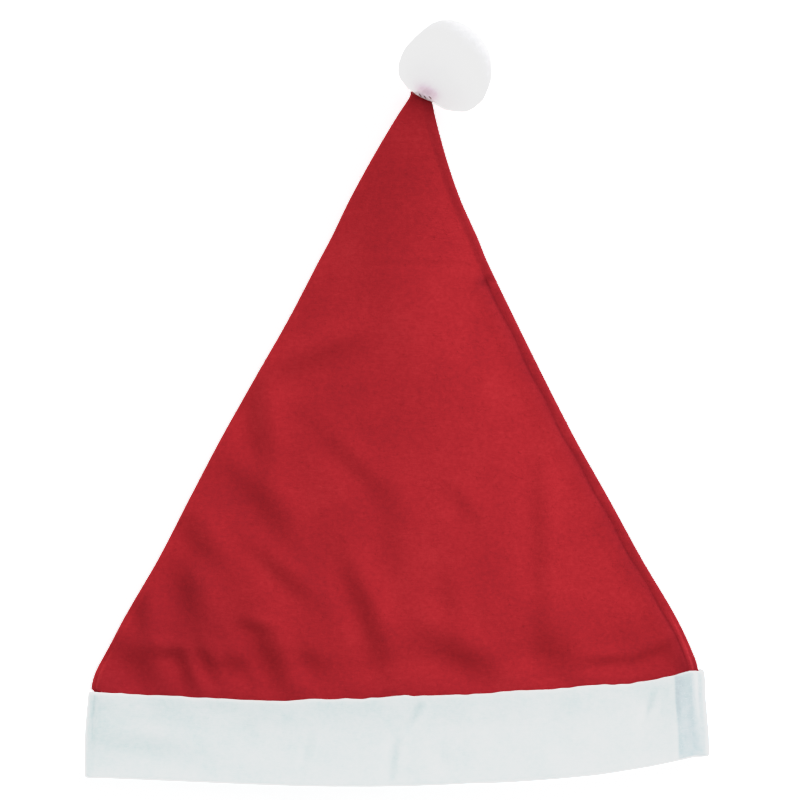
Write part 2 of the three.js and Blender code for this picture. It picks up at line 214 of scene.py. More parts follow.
def lengthAt(across, felt, onBack):
    peek = np.where(onBack, 0, smoothLine(peekLine, across) * hat["hemRise"])
    hem = smoothLine(hemLine, across) * hat["hemRise"] + peek
    top = smoothLine(topLine, across) * hat["hemRise"]
    overBand = np.clip(felt / hat["bandHeight"], 0, 1)
    fade = 1 - smooth((felt - hat["bandHeight"]) / (hat["length"] / 2))
    skew = hat["tipSkew"] * across * smooth(1 - (hat["length"] - felt) / hat["tipSkewRun"])
    return felt + (hem * (1 - overBand) + top * overBand) * fade - skew


def underside(felt):
    fade = 1 - smooth((felt - hat["bandHeight"]) / hat["bandStepFade"])
    step = (bandStep - hat["crownWall"] / 2) * fade
    return hat["crownWall"] / 2 + step + hat["tipLift"] * smoothLine(liftLine, felt / hat["length"])


# Height of folds, hollows and swells. Each row gives the middle of one in the plan, its heading in
# degrees, half length, half width, bend per metre, depth, and how far it leans over sideways.
def foldHeight(rows, x, y):
    total = np.zeros(x.shape)
    for midX, midY, heading, halfLength, halfWidth, bend, depth, lean in rows:
        cosine, sine = math.cos(math.radians(heading)), math.sin(math.radians(heading))
        along = (x - midX) * cosine + (y - midY) * sine
        off = ((y - midY) * cosine - (x - midX) * sine - bend / 1000 * along**2) / halfWidth
        profile = lean * off * np.exp((1 - off**2) / 2) - depth * np.exp(-(off**2))
        total += profile * np.exp(-((along / halfLength) ** 2))
    return total


# Side seam of the crown, measured inwards from the right shoulder of the front
seam = {
    "inset": 0.9,
    "depth": 0.3,
    "reach": 1.1,
    "top": 232.0,
    "fade": 9.0,
    "allowanceStart": 5.0,
    "allowanceEnd": 6.2,
    "allowanceWidth": 12.0,
    "allowanceLift": 0.35,
    "puckerEvery": 4.2,
    "puckerDepth": 0.25,
    "lineReach": 0.7,
    "linePress": 0.45,
    # Painted shade inside the seam and round the turned right edge
    "innerShade": 0.75,
    "innerShadeReach": 8.0,
    "rimShade": 1.0,
    "rimTurn": 0.3,
    "wanderEvery": 31.0,
    "wander": 0.35,
}

# How much the strip outside the seam is pressed flat and painted in shade, along the felt.
stripPressAndShade = [
    (27, 0.6), (48, 0.6), (62, 0.45), (80, 0.3), (120, 0.3),
    (160, 0.4), (200, 0.45), (232, 0.4), (320, 0.3),
]


# The sewn line wanders a little along the hat.
def seamLine(felt):
    return seam["inset"] + seam["wander"] * np.sin(2 * math.pi * felt / seam["wanderEvery"])


def seamHeight(inboard, felt):
    belowTop = 1 - smooth((felt - seam["top"]) / seam["fade"])
    shown = smooth((felt - hat["bandHeight"]) / seam["fade"]) * belowTop
    groove = np.maximum(0, 1 - np.abs(inboard - seamLine(felt)) / seam["reach"])
    rise = smooth((inboard - seam["reach"]) / (seam["allowanceStart"] - seam["reach"]))
    fall = smooth((inboard - seam["allowanceEnd"]) / (seam["allowanceWidth"] - seam["allowanceEnd"]))
    pucker = 1 + seam["puckerDepth"] * np.sin(2 * math.pi * felt / seam["puckerEvery"])
    return shown * (seam["allowanceLift"] * rise * (1 - fall) - seam["depth"] * groove * pucker)


# How much the felt is pressed together at and beside the seam, and how much shade is painted beside it and
# round the turned right edge, for the tone of its fibres.
def seamPressAndShade(around, felt):
    side = np.floor(np.mod(around, 4)).astype(int)
    share = np.mod(around, 4) - side
    y = lengthAt(1.0, felt, False)
    run = 2 * (skinHalf(y) - hat["foldRadius"])
    roundEdge = np.where(side == 1, -share * math.pi * hat["foldRadius"], outOfReach)
    inboard = np.where(side == 0, (1 - share) * run, roundEdge)
    shown = 1 - smooth((felt - seam["top"]) / seam["fade"])
    line = np.exp(-(((inboard - seamLine(felt)) / seam["lineReach"]) ** 2)) * shown
    # Painted shade inside the seam, fading over its reach.
    inner = seam["innerShade"] * np.clip(1 - inboard / seam["innerShadeReach"], 0, 1) * shown
    strip = np.where(inboard < seam["inset"], smoothLine(stripPressAndShade, felt + 0 * inboard), inner)
    # Painted shade round the turned right edge.
    rim = seam["rimShade"] * smooth(share / seam["rimTurn"])
    strip = np.where(side == 1, np.maximum(strip, rim), strip)
    return np.clip(strip + seam["linePress"] * line, 0, 1)


# Keeps on the mesh how much each corner is pressed and how much shade is painted on it, where the felt's and
# fluff's materials read it.
def keepPressAndShade(piece, values):
    layer = piece.data.attributes.new("pressAndShade", "FLOAT", "POINT")
    layer.data.foreach_set("value", np.asarray(values, np.float32))


# Points a set distance outside the hat's skin. Around the hat, 0 to 1 is the front from left to
# right, 1 to 2 the right side, 2 to 3 the back and 3 to 4 the left side. The relief is what the
# front adds to its dome.
def feltPoints(around, felt, outside, relief, grooved=False):
    outside = np.asarray(outside) + 0 * around
    side = np.floor(np.mod(around, 4)).astype(int)
    share = np.mod(around, 4) - side
    across = np.choose(side, [2 * share - 1, np.ones(share.shape), 1 - 2 * share, -np.ones(share.shape)])
    y = lengthAt(across, felt, side == 2)
    half, low = skinHalf(y), underside(felt)
    loft = hat["mouthLoft"] * smoothLine(loftLine, y / hat["length"])
    turn = np.minimum(np.minimum(hat["foldRadius"], loft / 2), half * hat["foldRadiusShare"])
    run = 2 * (half - turn)
    shoulder = middleX(y) + across * run / 2
    inboard = (1 - share) * run
    dome = (loft - 2 * turn) * np.maximum(0, 1 - across**2) ** hat["domeSharpness"]
    groove = seamHeight(inboard, felt) if grooved else 0
    edge = smooth(np.minimum(inboard, share * run) / hat["edgeFade"])
    nearBand = 1 - smooth((felt - hat["bandHeight"]) / hat["tuckRun"])
    tuck = hat["tuck"] * nearBand * smooth(felt / hat["bandHeight"])
    room = 2 * turn + dome + relief(shoulder, y, felt) - edge * tuck
    over = room - hat["leastRoom"]  # the front never sinks onto the back
    room = hat["leastRoom"] + (over + np.sqrt(over**2 + hat["roomSoftness"])) / 2
    isSide = side % 2 == 1
    angle = np.where(side == 1, math.pi * (0.5 - share), math.pi * (1.5 - share))
    power = 2 / hat["edgeSquareness"]
    out = np.sign(np.cos(angle)) * np.abs(np.cos(angle)) ** power
    up = np.sign(np.sin(angle)) * np.abs(np.sin(angle)) ** power
    dip = np.where(side == 1, seamHeight(-share * math.pi * turn, felt), 0) if grooved else 0
    # The lower left corner spreads out over the band.
    above = felt - hat["bandHeight"] + hat["cornerStart"]
    rise, fall = smooth(above / hat["cornerRise"]), 1 - smooth(above / hat["cornerRun"])
    nearLeft = np.clip(-across, 0, 1) ** hat["cornerTightness"]
    shoulder = shoulder - hat["cornerSpread"] * rise * fall * nearLeft
    x = np.where(isSide, shoulder + (turn + dip + outside) * out, shoulder)
    sideZ = low + room / 2 + (room / 2 + dip + outside) * up
    z = np.where(isSide, sideZ, np.where(side == 0, low + room + groove + outside, low - outside))
    return np.stack([x, y + 0 * x, z], axis=-1)


# Stations beside the seam, in millimetres in from the right shoulder, and round a folded side, as
# shares of the way.
seamStations = [9.4, 8.2, 7.0, 6.0, 5.1, 4.3, 3.6, 3.0, 2.5, 2.0, 1.6, 1.25, 0.9, 0.55, 0.25]
bendStations = [
    0, 0.02, 0.045, 0.08, 0.12, 0.16, 0.2, 0.24, 0.28, 0.33, 0.4,
    0.5, 0.6, 0.67, 0.72, 0.76, 0.8, 0.84, 0.88, 0.92, 0.955, 0.98,
]


# Stations round the hat for each row, close together beside the seam and round the folded sides.
def stationsAt(felt, frontSteps, backSteps):
    y = lengthAt(1.0, felt, False)
    loft = hat["mouthLoft"] * smoothLine(loftLine, y / hat["length"])
    turn = np.minimum(np.minimum(hat["foldRadius"], loft / 2), skinHalf(y) * hat["foldRadiusShare"])
    run = 2 * (skinHalf(y) - turn)
    perMillimetre = np.minimum(1 / run, 1 / hat["squeezeRun"])
    insets, bends = np.array(seamStations), np.array(bendStations)
    plain = 1 - insets[0] * perMillimetre
    front = plain[:, None] * np.arange(frontSteps) / frontSteps
    rest = np.concatenate([1 + bends, 2 + np.arange(backSteps) / backSteps, 3 + bends])
    beside = 1 - insets * perMillimetre[:, None]
    return np.concatenate([front, beside, np.tile(rest, (len(felt), 1))], axis=1)


# Materials

strandTurns = (0.35, 1.45, 2.5)  # radians, three ways that the fibres lie
strandDepthMm = 2.5


# Needled polyester felt: a flat web of short crossed fibres, so the eye gets a dull, faintly cloudy
# and speckled face with no gloss and a soft paler bloom where it turns away.
def makeFelt(name, look):
    material = bpy.data.materials.new(name)
    material.use_nodes = True
    tree = material.node_tree
    tree.nodes.clear()
    place = addNode(tree, "ShaderNodeTexCoord").outputs["Object"]
    cloud = addNode(tree, "ShaderNodeTexNoise", {
        "Vector": place, "Scale": 1000 / look["cloudMm"], "Detail": 3.0, "Roughness": 0.5,
    })
    grain = addNode(tree, "ShaderNodeTexNoise", {
        "Vector": place, "Scale": 1000 / look["grainMm"], "Detail": 5.0, "Roughness": 0.62,
    })
    # Real fibres are 0.02 mm wide, too fine to show, so bundles of them are drawn.
    strands = None
    for turn in strandTurns:
        sizesMm = (look["strandLengthMm"], look["strandWidthMm"], strandDepthMm)
        laid = addNode(tree, "ShaderNodeMapping", {
            "Vector": place, "Rotation": (0.0, 0.0, turn), "Scale": tuple(1000 / size for size in sizesMm),
        })
        layer = addNode(tree, "ShaderNodeTexNoise", {
            "Vector": laid.outputs["Vector"], "Scale": 1.0, "Detail": 2.0, "Distortion": 0.6,
        }).outputs["Fac"]
        if strands is None:
            strands = layer
        else:
            higher = addNode(tree, "ShaderNodeMath", {0: strands, 1: layer}, operation="MAXIMUM")
            strands = higher.outputs[0]
    # The tone adds up the grain, the clouds and the strands, each with its share.
    mixed = 0.0
    for part, share in (
        (grain.outputs["Fac"], "grainShare"), (cloud.outputs["Fac"], "cloudShare"), (strands, "strandShare"),
    ):
        parts = {0: part, 1: look[share], 2: mixed}
        mixed = addNode(tree, "ShaderNodeMath", parts, operation="MULTIPLY_ADD").outputs[0]
    ramp = addNode(tree, "ShaderNodeValToRGB", {"Fac": mixed})
    stops = ramp.color_ramp.elements
    stops[0].position, stops[0].color = look["from"], toLinear(look["dark"])
    stops[1].position, stops[1].color = look["to"], toLinear(look["light"])
    middle = stops.new((look["from"] + look["to"]) / 2)
    middle.color = toLinear(look["mid"])
    # The tint shows where layers are pressed flat, and is painted shade in creases, along the band's top
    # edge, beside the seam and where the felt turns away from the lamp.
    pressAndShade = addNode(tree, "ShaderNodeAttribute", attribute_name="pressAndShade")
    colour = addNode(tree, "ShaderNodeMix", {
        0: pressAndShade.outputs["Fac"], 6: ramp.outputs["Color"], 7: toLinear(look["pressAndShadeTint"]),
    }, data_type="RGBA", blend_type="MULTIPLY")
    parts = {0: strands, 1: 0.8, 2: grain.outputs["Fac"]}
    height = addNode(tree, "ShaderNodeMath", parts, operation="MULTIPLY_ADD")
    bump = addNode(tree, "ShaderNodeBump", {
        "Height": height.outputs[0], "Strength": look["bump"], "Distance": look["reliefMm"] / 1000,
    })
    shader = addNode(tree, "ShaderNodeBsdfPrincipled", {
        "Base Color": colour.outputs[2], "Normal": bump.outputs["Normal"], "Roughness": 0.96, "IOR": 1.5,
        "Specular IOR Level": 0.1, "Sheen Weight": look["sheen"], "Sheen Roughness": 0.45,
        "Sheen Tint": toLinear(look["light"]), "Subsurface Weight": look["soak"],
        "Subsurface Radius": (1.0, 1.0, 1.0), "Subsurface Scale": look["soakMm"] / 1000,
    })
    addNode(tree, "ShaderNodeOutputMaterial", {"Surface": shader.outputs["BSDF"]})
    return material


redFelt = makeFelt("needledPolyesterFeltRed", {
    "dark": "#8d1c25", "mid": "#a12028", "light": "#af2930",
    "cloudMm": 26.0, "grainMm": 1.9, "strandLengthMm": 3.2, "strandWidthMm": 0.45,
    "cloudShare": 0.36, "grainShare": 0.4, "strandShare": 0.34, "from": 0.36, "to": 0.8,
    "bump": 0.45, "reliefMm": 0.2, "sheen": 0.25, "soak": 0.0, "soakMm": 1.0, "pressAndShadeTint": "#d9dbe6",
})
whiteFelt = makeFelt("needledPolyesterFeltWhite", {
    "dark": "#c9d8d9", "mid": "#d7e3e4", "light": "#e2ebed",
    "cloudMm": 12.0, "grainMm": 2.2, "strandLengthMm": 3.2, "strandWidthMm": 0.45,
    "cloudShare": 0.36, "grainShare": 0.4, "strandShare": 0.34, "from": 0.36, "to": 0.8,
    "bump": 0.35, "reliefMm": 0.18, "sheen": 0.08, "soak": 0.6, "soakMm": 5.0, "pressAndShadeTint": "#e8e7ea",
})
# The loose fibres get paler copies of the felts' colours: painted light, for the light that the fibres catch.
redFibre = makeFelt("loosePolyesterFibreRed", {
    "dark": "#97202a", "mid": "#a4252d", "light": "#b02c32",
    "cloudMm": 26.0, "grainMm": 1.9, "strandLengthMm": 3.2, "strandWidthMm": 0.45,
    "cloudShare": 0.5, "grainShare": 0.3, "strandShare": 0.3, "from": 0.36, "to": 0.8,
    "bump": 0.1, "reliefMm": 0.1, "sheen": 0.2, "soak": 0.0, "soakMm": 1.0, "pressAndShadeTint": "#d9dbe6",
})
whiteFibre = makeFelt("loosePolyesterFibreWhite", {
    "dark": "#d6e0e2", "mid": "#dce6e8", "light": "#e2ebed",
    "cloudMm": 22.0, "grainMm": 2.2, "strandLengthMm": 3.2, "strandWidthMm": 0.45,
    "cloudShare": 0.5, "grainShare": 0.3, "strandShare": 0.3, "from": 0.36, "to": 0.8,
    "bump": 0.1, "reliefMm": 0.1, "sheen": 0.1, "soak": 0.6, "soakMm": 5.0, "pressAndShadeTint": "#e8e7ea",
})


# Loose polyester staple fibre: many fine white strands that light soaks through, so the eye gets a
# bright, shadowless ball with a soft rim.
def makeFluff(name, look):
    material = bpy.data.materials.new(name)
    material.use_nodes = True
    tree = material.node_tree
    tree.nodes.clear()
    place = addNode(tree, "ShaderNodeTexCoord").outputs["Object"]
    curls = addNode(tree, "ShaderNodeTexNoise", {
        "Vector": place, "Scale": 1000 / look["curlMm"], "Detail": 5.0, "Roughness": 0.6, "Distortion": 1.2,
    })
    ramp = addNode(tree, "ShaderNodeValToRGB", {"Fac": curls.outputs["Fac"]})
    stops = ramp.color_ramp.elements
    stops[0].position, stops[0].color = 0.3, toLinear(look["dark"])
    stops[1].position, stops[1].color = 0.7, toLinear(look["light"])
    # The tint is painted pinkish shade and red glow where the fluff gathers round the tip.
    pressAndShade = addNode(tree, "ShaderNodeAttribute", attribute_name="pressAndShade")
    colour = addNode(tree, "ShaderNodeMix", {
        0: pressAndShade.outputs["Fac"], 6: ramp.outputs["Color"], 7: toLinear(look["pressAndShadeTint"]),
    }, data_type="RGBA", blend_type="MULTIPLY")
    bump = addNode(tree, "ShaderNodeBump", {
        "Height": curls.outputs["Fac"], "Strength": 0.4, "Distance": look["reliefMm"] / 1000,
    })
    shader = addNode(tree, "ShaderNodeBsdfPrincipled", {
        "Base Color": colour.outputs[2], "Normal": bump.outputs["Normal"], "Roughness": 1.0, "IOR": 1.5,
        "Specular IOR Level": 0.1, "Sheen Weight": 0.1, "Sheen Roughness": 0.6,
        "Sheen Tint": toLinear(look["light"]), "Subsurface Weight": look["soak"],
        "Subsurface Radius": (1.0, 1.0, 1.0), "Subsurface Scale": look["soakMm"] / 1000,
    })
    addNode(tree, "ShaderNodeOutputMaterial", {"Surface": shader.outputs["BSDF"]})
    return material


whiteFluff = makeFluff("polyesterStapleFluff", {
    "dark": "#dddde0", "light": "#e4e4e7", "pressAndShadeTint": "#d9c9d2",
    "curlMm": 3.0, "reliefMm": 0.3, "soak": 1.0, "soakMm": 60.0,
})
looseFluff = makeFluff("polyesterStapleFibre", {
    "dark": "#dadadd", "light": "#e2e2e5", "pressAndShadeTint": "#d9c9d2",
    "curlMm": 3.0, "reliefMm": 0.1, "soak": 1.0, "soakMm": 20.0,
})
print("materials made")


# Sows straight tapering fibres over a surface, each rooted on it. A fibre stands up by the rise,
# lies over by the lean, and its neighbours lie the same way by the clump.
def makeFibreTree():
    tree = bpy.data.node_groups.new("sownFibres", "GeometryNodeTree")
    tree.interface.new_socket("Geometry", in_out="INPUT", socket_type="NodeSocketGeometry")
    for name in ("Density", "Length", "Thickness", "Rise", "Lean", "Clump", "Clump Size"):
        tree.interface.new_socket(name, in_out="INPUT", socket_type="NodeSocketFloat")
    tree.interface.new_socket("Seed", in_out="INPUT", socket_type="NodeSocketInt")
    tree.interface.new_socket("Material", in_out="INPUT", socket_type="NodeSocketMaterial")
    tree.interface.new_socket("Geometry", in_out="OUTPUT", socket_type="NodeSocketGeometry")
    given = addNode(tree, "NodeGroupInput").outputs
    sown = addNode(tree, "GeometryNodeDistributePointsOnFaces", {
        "Mesh": given["Geometry"], "Density": given["Density"], "Seed": given["Seed"],
    })
    stray = addNode(tree, "FunctionNodeRandomValue", {
        0: (-1.0, -1.0, -1.0), 1: (1.0, 1.0, 1.0), "Seed": given["Seed"],
    }, data_type="FLOAT_VECTOR")
    place = addNode(tree, "GeometryNodeInputPosition")
    finer = addNode(tree, "ShaderNodeMath", {0: 1.0, 1: given["Clump Size"]}, operation="DIVIDE")
    clumps = addNode(tree, "ShaderNodeTexNoise", {
        "Vector": place.outputs[0], "Scale": finer.outputs[0], "Detail": 1.0,
    })
    drift = addNode(tree, "ShaderNodeVectorMath", {
        0: clumps.outputs["Color"], 1: (0.5, 0.5, 0.5),
    }, operation="SUBTRACT")
    drift = addNode(tree, "ShaderNodeVectorMath", {
        0: drift.outputs[0], "Scale": given["Clump"],
    }, operation="SCALE")
    way = addNode(tree, "ShaderNodeVectorMath", {0: stray.outputs[0], 1: drift.outputs[0]}, operation="ADD")
    flat = addNode(tree, "ShaderNodeVectorMath", {
        0: sown.outputs["Normal"], 1: way.outputs[0],
    }, operation="CROSS_PRODUCT")
    flat = addNode(tree, "ShaderNodeVectorMath", {
        0: flat.outputs[0], "Scale": given["Lean"],
    }, operation="SCALE")
    up = addNode(tree, "ShaderNodeVectorMath", {
        0: sown.outputs["Normal"], "Scale": given["Rise"],
    }, operation="SCALE")
    aim = addNode(tree, "ShaderNodeVectorMath", {0: up.outputs[0], 1: flat.outputs[0]}, operation="ADD")
    turned = addNode(tree, "FunctionNodeAlignRotationToVector", {"Vector": aim.outputs[0]}, axis="Z")
    half = addNode(tree, "ShaderNodeMath", {0: given["Thickness"], 1: 0.5}, operation="MULTIPLY")
    fibre = addNode(tree, "GeometryNodeMeshCone", {
        "Vertices": 3, "Radius Top": 0.0, "Radius Bottom": half.outputs[0], "Depth": given["Length"],
    }, fill_type="NGON")
    # Fibres are 0.55 to 1.25 times as long as the length given.
    sizes = addNode(tree, "FunctionNodeRandomValue", {
        2: 0.55, 3: 1.25, "Seed": given["Seed"],
    }, data_type="FLOAT")
    pile = addNode(tree, "GeometryNodeInstanceOnPoints", {
        "Points": sown.outputs["Points"], "Instance": fibre.outputs["Mesh"],
        "Rotation": turned.outputs[0], "Scale": sizes.outputs[1],
    })
    real = addNode(tree, "GeometryNodeRealizeInstances", {0: pile.outputs[0]})
    done = addNode(tree, "GeometryNodeSetMaterial", {
        "Geometry": real.outputs[0], "Material": given["Material"],
    })
    addNode(tree, "NodeGroupOutput", {"Geometry": done.outputs[0]})
    return tree


tableGap = 0.00005


# Runs a tree on a host and keeps the result as a plain mesh of its own.
def growOn(host, tree, name, values):
    grower = host.modifiers.new("grower", "NODES")
    grower.node_group = tree
    inputs = [item for item in tree.interface.items_tree if item.in_out == "INPUT"]
    sockets = {item.name: item.identifier for item in inputs}
    for label, value in values.items():
        grower[sockets[label]] = value
    bpy.context.view_layer.update()
    depsgraph = bpy.context.evaluated_depsgraph_get()
    grown = host.evaluated_get(depsgraph)
    mesh = bpy.data.meshes.new_from_object(grown, preserve_all_data_layers=True, depsgraph=depsgraph)
    mesh.name = name
    places = np.empty(3 * len(mesh.vertices), np.float32)
    mesh.vertices.foreach_get("co", places)
    places[2::3] = np.maximum(places[2::3], tableGap)  # no fibre reaches into the table
    mesh.vertices.foreach_set("co", places)
    mesh.update()
    host.modifiers.remove(grower)
    bpy.data.objects.remove(host)
    piece = bpy.data.objects.new(name, mesh)
    bpy.context.scene.collection.objects.link(piece)
    return piece


fibreTree = makeFibreTree()


# Crown: one panel of red felt, folded and sewn up its right side

crown = {
    "frontSteps": 176,
    "backSteps": 48,
    "rows": 190,
    "insideRows": 56,
    "overlapRows": 8,
    "foldStart": 3.0,
    "foldStartRun": 8.0,
    "waves": [(17.0, 0.09, 12), (7.5, 0.05, 13)],
    # Painted shade on the red along the band's top edge, and how far up it reaches in millimetres
    "hemShade": 0.28,
    "hemShadeReach": 16.0,
    # Patches of painted shade: middle x, middle y, reach and how dark they are painted
    "shadePatches": [
        (-103.0, 66.0, 34.0, 0.45),
        (-134.0, 50.0, 10.0, 0.4),
        (40.4, 233.5, 2.4, 0.6),
        (120.0, 56.0, 22.0, 0.2),
    ],
    "fuzzDensity": 110000.0,
    "fuzzLength": 0.0022,
    "fuzzThickness": 0.00008,
}

# Folds of the red front, a row for each: middle x, middle y, heading, half length, half width,
# bend, depth and lean. A lean above 0 is a step that falls to the lower left and lies in shade, and
# one below 0 faces the light.
crownFolds = [
    # Lower left corner
    (-91, 113, -58, 15, 6, 0, 0, 2.0),
    (-96, 91, -82, 15, 7, 0, 0, 2.7),
    (-118, 77, -88, 12, 4, 0, 0, 1.5),
    (-119, 57, -45, 13, 7, 0, 0, 2.2),
    (-107, 62, -5, 10, 3.5, 0, 0, 1.2),
    (-97, 53, -70, 12, 4, 0, 0, 1.6),
    (-88, 58, -62, 10, 3.5, 0, 0, 1.3),
    (-76, 57, -5, 9, 5, 0, 0, 1.2),
    (-68, 51, -65, 7, 3, 0, 0, 0.5),
    (-58, 60, -66, 18, 6, -3, 0, 2.3),
    (-66, 74, -15, 8, 3, 0, 0, 0.8),
    (-40, 59, -40, 11, 5, 0, 0, 0.9),
    # Left of the middle
    (-62, 132, -52, 22, 7, -5, 0, 1.8),
    (-54, 99, -43, 18, 4.5, 0, 0, 1.2),
    (-14, 80, -70, 27, 5.5, -2.5, 0, 1.8),
    (-20, 149, -45, 24, 5, 0, 0, 0.8),
    (-3, 120, -85, 20, 7, 0, 0, 0.9),
    # Right of the middle
    (31, 130, -55, 12, 4.5, 0, 0, 0.5),
    (25, 86, -80, 11, 5.5, 0, 0, 0.8),
    (38, 82, -70, 8, 5, 0, 0, 0.4),
    (32, 59, -32, 20, 7, 0, 0, 1.7),
    (66, 115, -89, 45, 5, 0, 0, 0.9),
    # Lower right corner, with a wavy crease along the band
    (74, 62, -60, 14, 9, 0, 0, 1.7),
    (97, 58, 5, 12, 3, 0, 0, 1.0),
    (119, 62, 25, 13, 3.5, 4, 0, 1.3),
    (131, 58, -60, 10, 6, 0, 0, 0.8),
    # Upper half, with two thin cross creases and the dent beside the seam
    (-64, 168, -85, 22, 6, 0, 0, 2.2),
    (-38, 198, 24, 24, 6, 0, 0, 1.8),
    (-8, 228, -70, 16, 9, 0, 0, 0.5),
    (24, 208, -70, 28, 16, 0, 0, -0.9),
    (10, 243, 0, 24, 1.6, 0, 0, 0.2),
    (10, 291, 0, 12, 1.5, 0, 0, 0.15),
    (40.4, 233.7, 60, 2.5, 1.3, 0, 1.1, 0.8),
]


def crownRelief(x, y, felt):
    total = plainRelief(x, y, felt)
    for cell, height, seed in crown["waves"]:
        total = total + height * softBumps(x, y, cell, seed)
    return total


# The folds begin near the band's top edge, and the felt lies plain under the band.
def plainRelief(x, y, felt):
    begun = smooth((felt - hat["bandHeight"] + crown["foldStart"]) / crown["foldStartRun"])
    return foldHeight(crownFolds, x, y) * begun


def makeCrown():
    overlap = np.linspace(crownHem, hat["bandHeight"], crown["overlapRows"], endpoint=False)
    outer = np.concatenate([overlap, np.linspace(hat["bandHeight"], hat["length"], crown["rows"])])
    inner = np.linspace(crownHem, hat["length"] - hat["crownWall"], crown["insideRows"])[::-1]
    rings = []
    for felt, outside, relief, grooved in (
        (inner, -0.5, plainRelief, False), (outer, 0.5, crownRelief, True),
    ):
        around = stationsAt(felt, crown["frontSteps"], crown["backSteps"])
        lengths = np.broadcast_to(felt[:, None], around.shape)
        rings.append(feltPoints(around, lengths, outside * hat["crownWall"], relief, grooved))
    count = rings[0].shape[1]
    corners = np.concatenate([ring.reshape(-1, 3) for ring in rings])
    rows = len(inner) + len(outer)
    faces = ringFaces(rows, count, False)
    first, last = 0, (rows - 1) * count
    hubs = [corners[first : first + count].mean(axis=0), corners[last : last + count].mean(axis=0)]
    total = len(corners)
    faces += [(total, first + (i + 1) % count, first + i) for i in range(count)]
    faces += [(total + 1, last + i, last + (i + 1) % count) for i in range(count)]
    corners = np.concatenate([corners, hubs])
    shown = rings[1][crown["overlapRows"] :]
    shownFaces = ringFaces(len(shown), count, False)
    skin = makePiece("crownFuzzHost", shown.reshape(-1, 3), shownFaces, redFelt)
    piece = makePiece("crownFelt", corners, faces, redFelt)
    around = stationsAt(outer, crown["frontSteps"], crown["backSteps"])
    # The tone also paints shade on the red along the band's top edge, and in the listed patches.
    nearHem = 1 - smooth((outer[:, None] - hat["bandHeight"]) / crown["hemShadeReach"])
    pressAndShade = seamPressAndShade(around, outer[:, None]) + crown["hemShade"] * nearHem
    for midX, midY, reach, amount in crown["shadePatches"]:
        away = np.hypot(rings[1][..., 0] - midX, rings[1][..., 1] - midY)
        pressAndShade = pressAndShade + amount * np.exp(-((away / reach) ** 2)) * (around < 1)
    unseen = np.zeros(len(inner) * count)
    keepPressAndShade(piece, np.concatenate([unseen, np.clip(pressAndShade, 0, 1).ravel(), [0, 0]]))
    return piece, skin


crownFelt, crownHost = makeCrown()
crownFuzz = growOn(crownHost, fibreTree, "crownFuzz", {
    "Density": crown["fuzzDensity"], "Length": crown["fuzzLength"], "Thickness": crown["fuzzThickness"],
    "Rise": 0.1, "Lean": 1.0, "Clump": 1.5, "Clump Size": 0.006,
    "Seed": 3, "Material": redFibre,
})
print("crown made", len(crownFelt.data.polygons), len(crownFuzz.data.polygons))


# Band: a doubled strip of white felt round the hem

band = {
    "frontSteps": 190,
    "backSteps": 56,
    "rows": 40,
    "insideRows": 14,
    "edgeRound": 0.9,
    "edgeWave": 0.5,
    "joinInset": 7.6,
    "joinReach": 0.9,
    "joinDepth": 0.7,
    "joinShade": 1.0,
    "joinFade": 1.0,
    "shadedTo": 1.8,
    "waves": [(30.0, 0.25, 21), (11.0, 0.1, 22), (5.0, 0.03, 23)],
    # Waviness of the top edge: cell, stretch over the height, share and seed
    "edgeWaves": [(13.0, 3, 1.0, 31), (4.0, 1, 0.6, 32)],
    "edgeWaveRun": 12.0,
    "fuzzDensity": 120000.0,
    "fuzzLength": 0.002,
    "fuzzThickness": 0.00008,
}

# Profile of the strip's two edges: how far in from the edge, in edge rounds, how far out from the
# middle of the wall, in half walls, and how much of the join's groove shows there. The cut edge has a
# fine slot between the strip's two layers.
cutEdge = [
    (0.45, 0.9, 0.4),
    (0.1, 0.6, 0.1),
    (0.12, 0.25, 0.0),
    (0.8, 0.0, 0.0),
    (0.12, -0.25, 0.0),
    (0.1, -0.6, 0.0),
    (0.45, -0.9, 0.0),
]
foldedEdge = [
    (0.3, -0.65, 0.0),
    (1 / 45, 0.0, 0.2),
    (0.3, 0.65, 0.5),
]

# Creases and hollows of the white front, in the columns of the crown's folds
bandFolds = [
    (6.5, 30.0, 57, 9.5, 2.4, 6.0, 1.2, -0.7),
    (-2.0, 13.5, 80, 12.0, 2.6, -4.0, 1.2, -0.7),
    (21.0, 10.7, 80, 4.5, 3.2, 0, 0.7, 0.0),
    (9.0, 12.0, 75, 9.0, 3.5, 0, -0.3, 0.0),
    (-41.8, 15.0, 72, 8.0, 1.9, 0, 0.8, -0.4),
    (116.4, 34.5, 68, 6.5, 1.6, 6.0, 1.1, -0.6),
    (134.0, 31.0, 78, 12.0, 3.0, 0, 0.35, 0.3),
    (140.5, 20.0, 84, 9.0, 1.5, 0, -0.3, 0.0),
    (-116.0, 16.0, 172, 22.0, 6.5, 0, 0.9, -0.5),
    (-82.0, 35.0, 170, 9.0, 4.0, 0, 0.4, 0.0),
    (-68.0, 24.0, 80, 8.0, 4.0, 0, 0.25, -0.2),
    (72.0, 22.0, 100, 12.0, 7.0, 0, 0.3, 0.3),
    (96.0, 12.0, 20, 14.0, 5.0, 0, 0.3, 0.2),
    (33.0, 30.0, 90, 14.0, 8.0, 0, -0.35, 0.0),
]


def bandRelief(x, y, felt):
    total = foldHeight(bandFolds, x, y)
    for cell, height, seed in band["waves"]:
        total = total + height * softBumps(x, y, cell, seed)
    return total


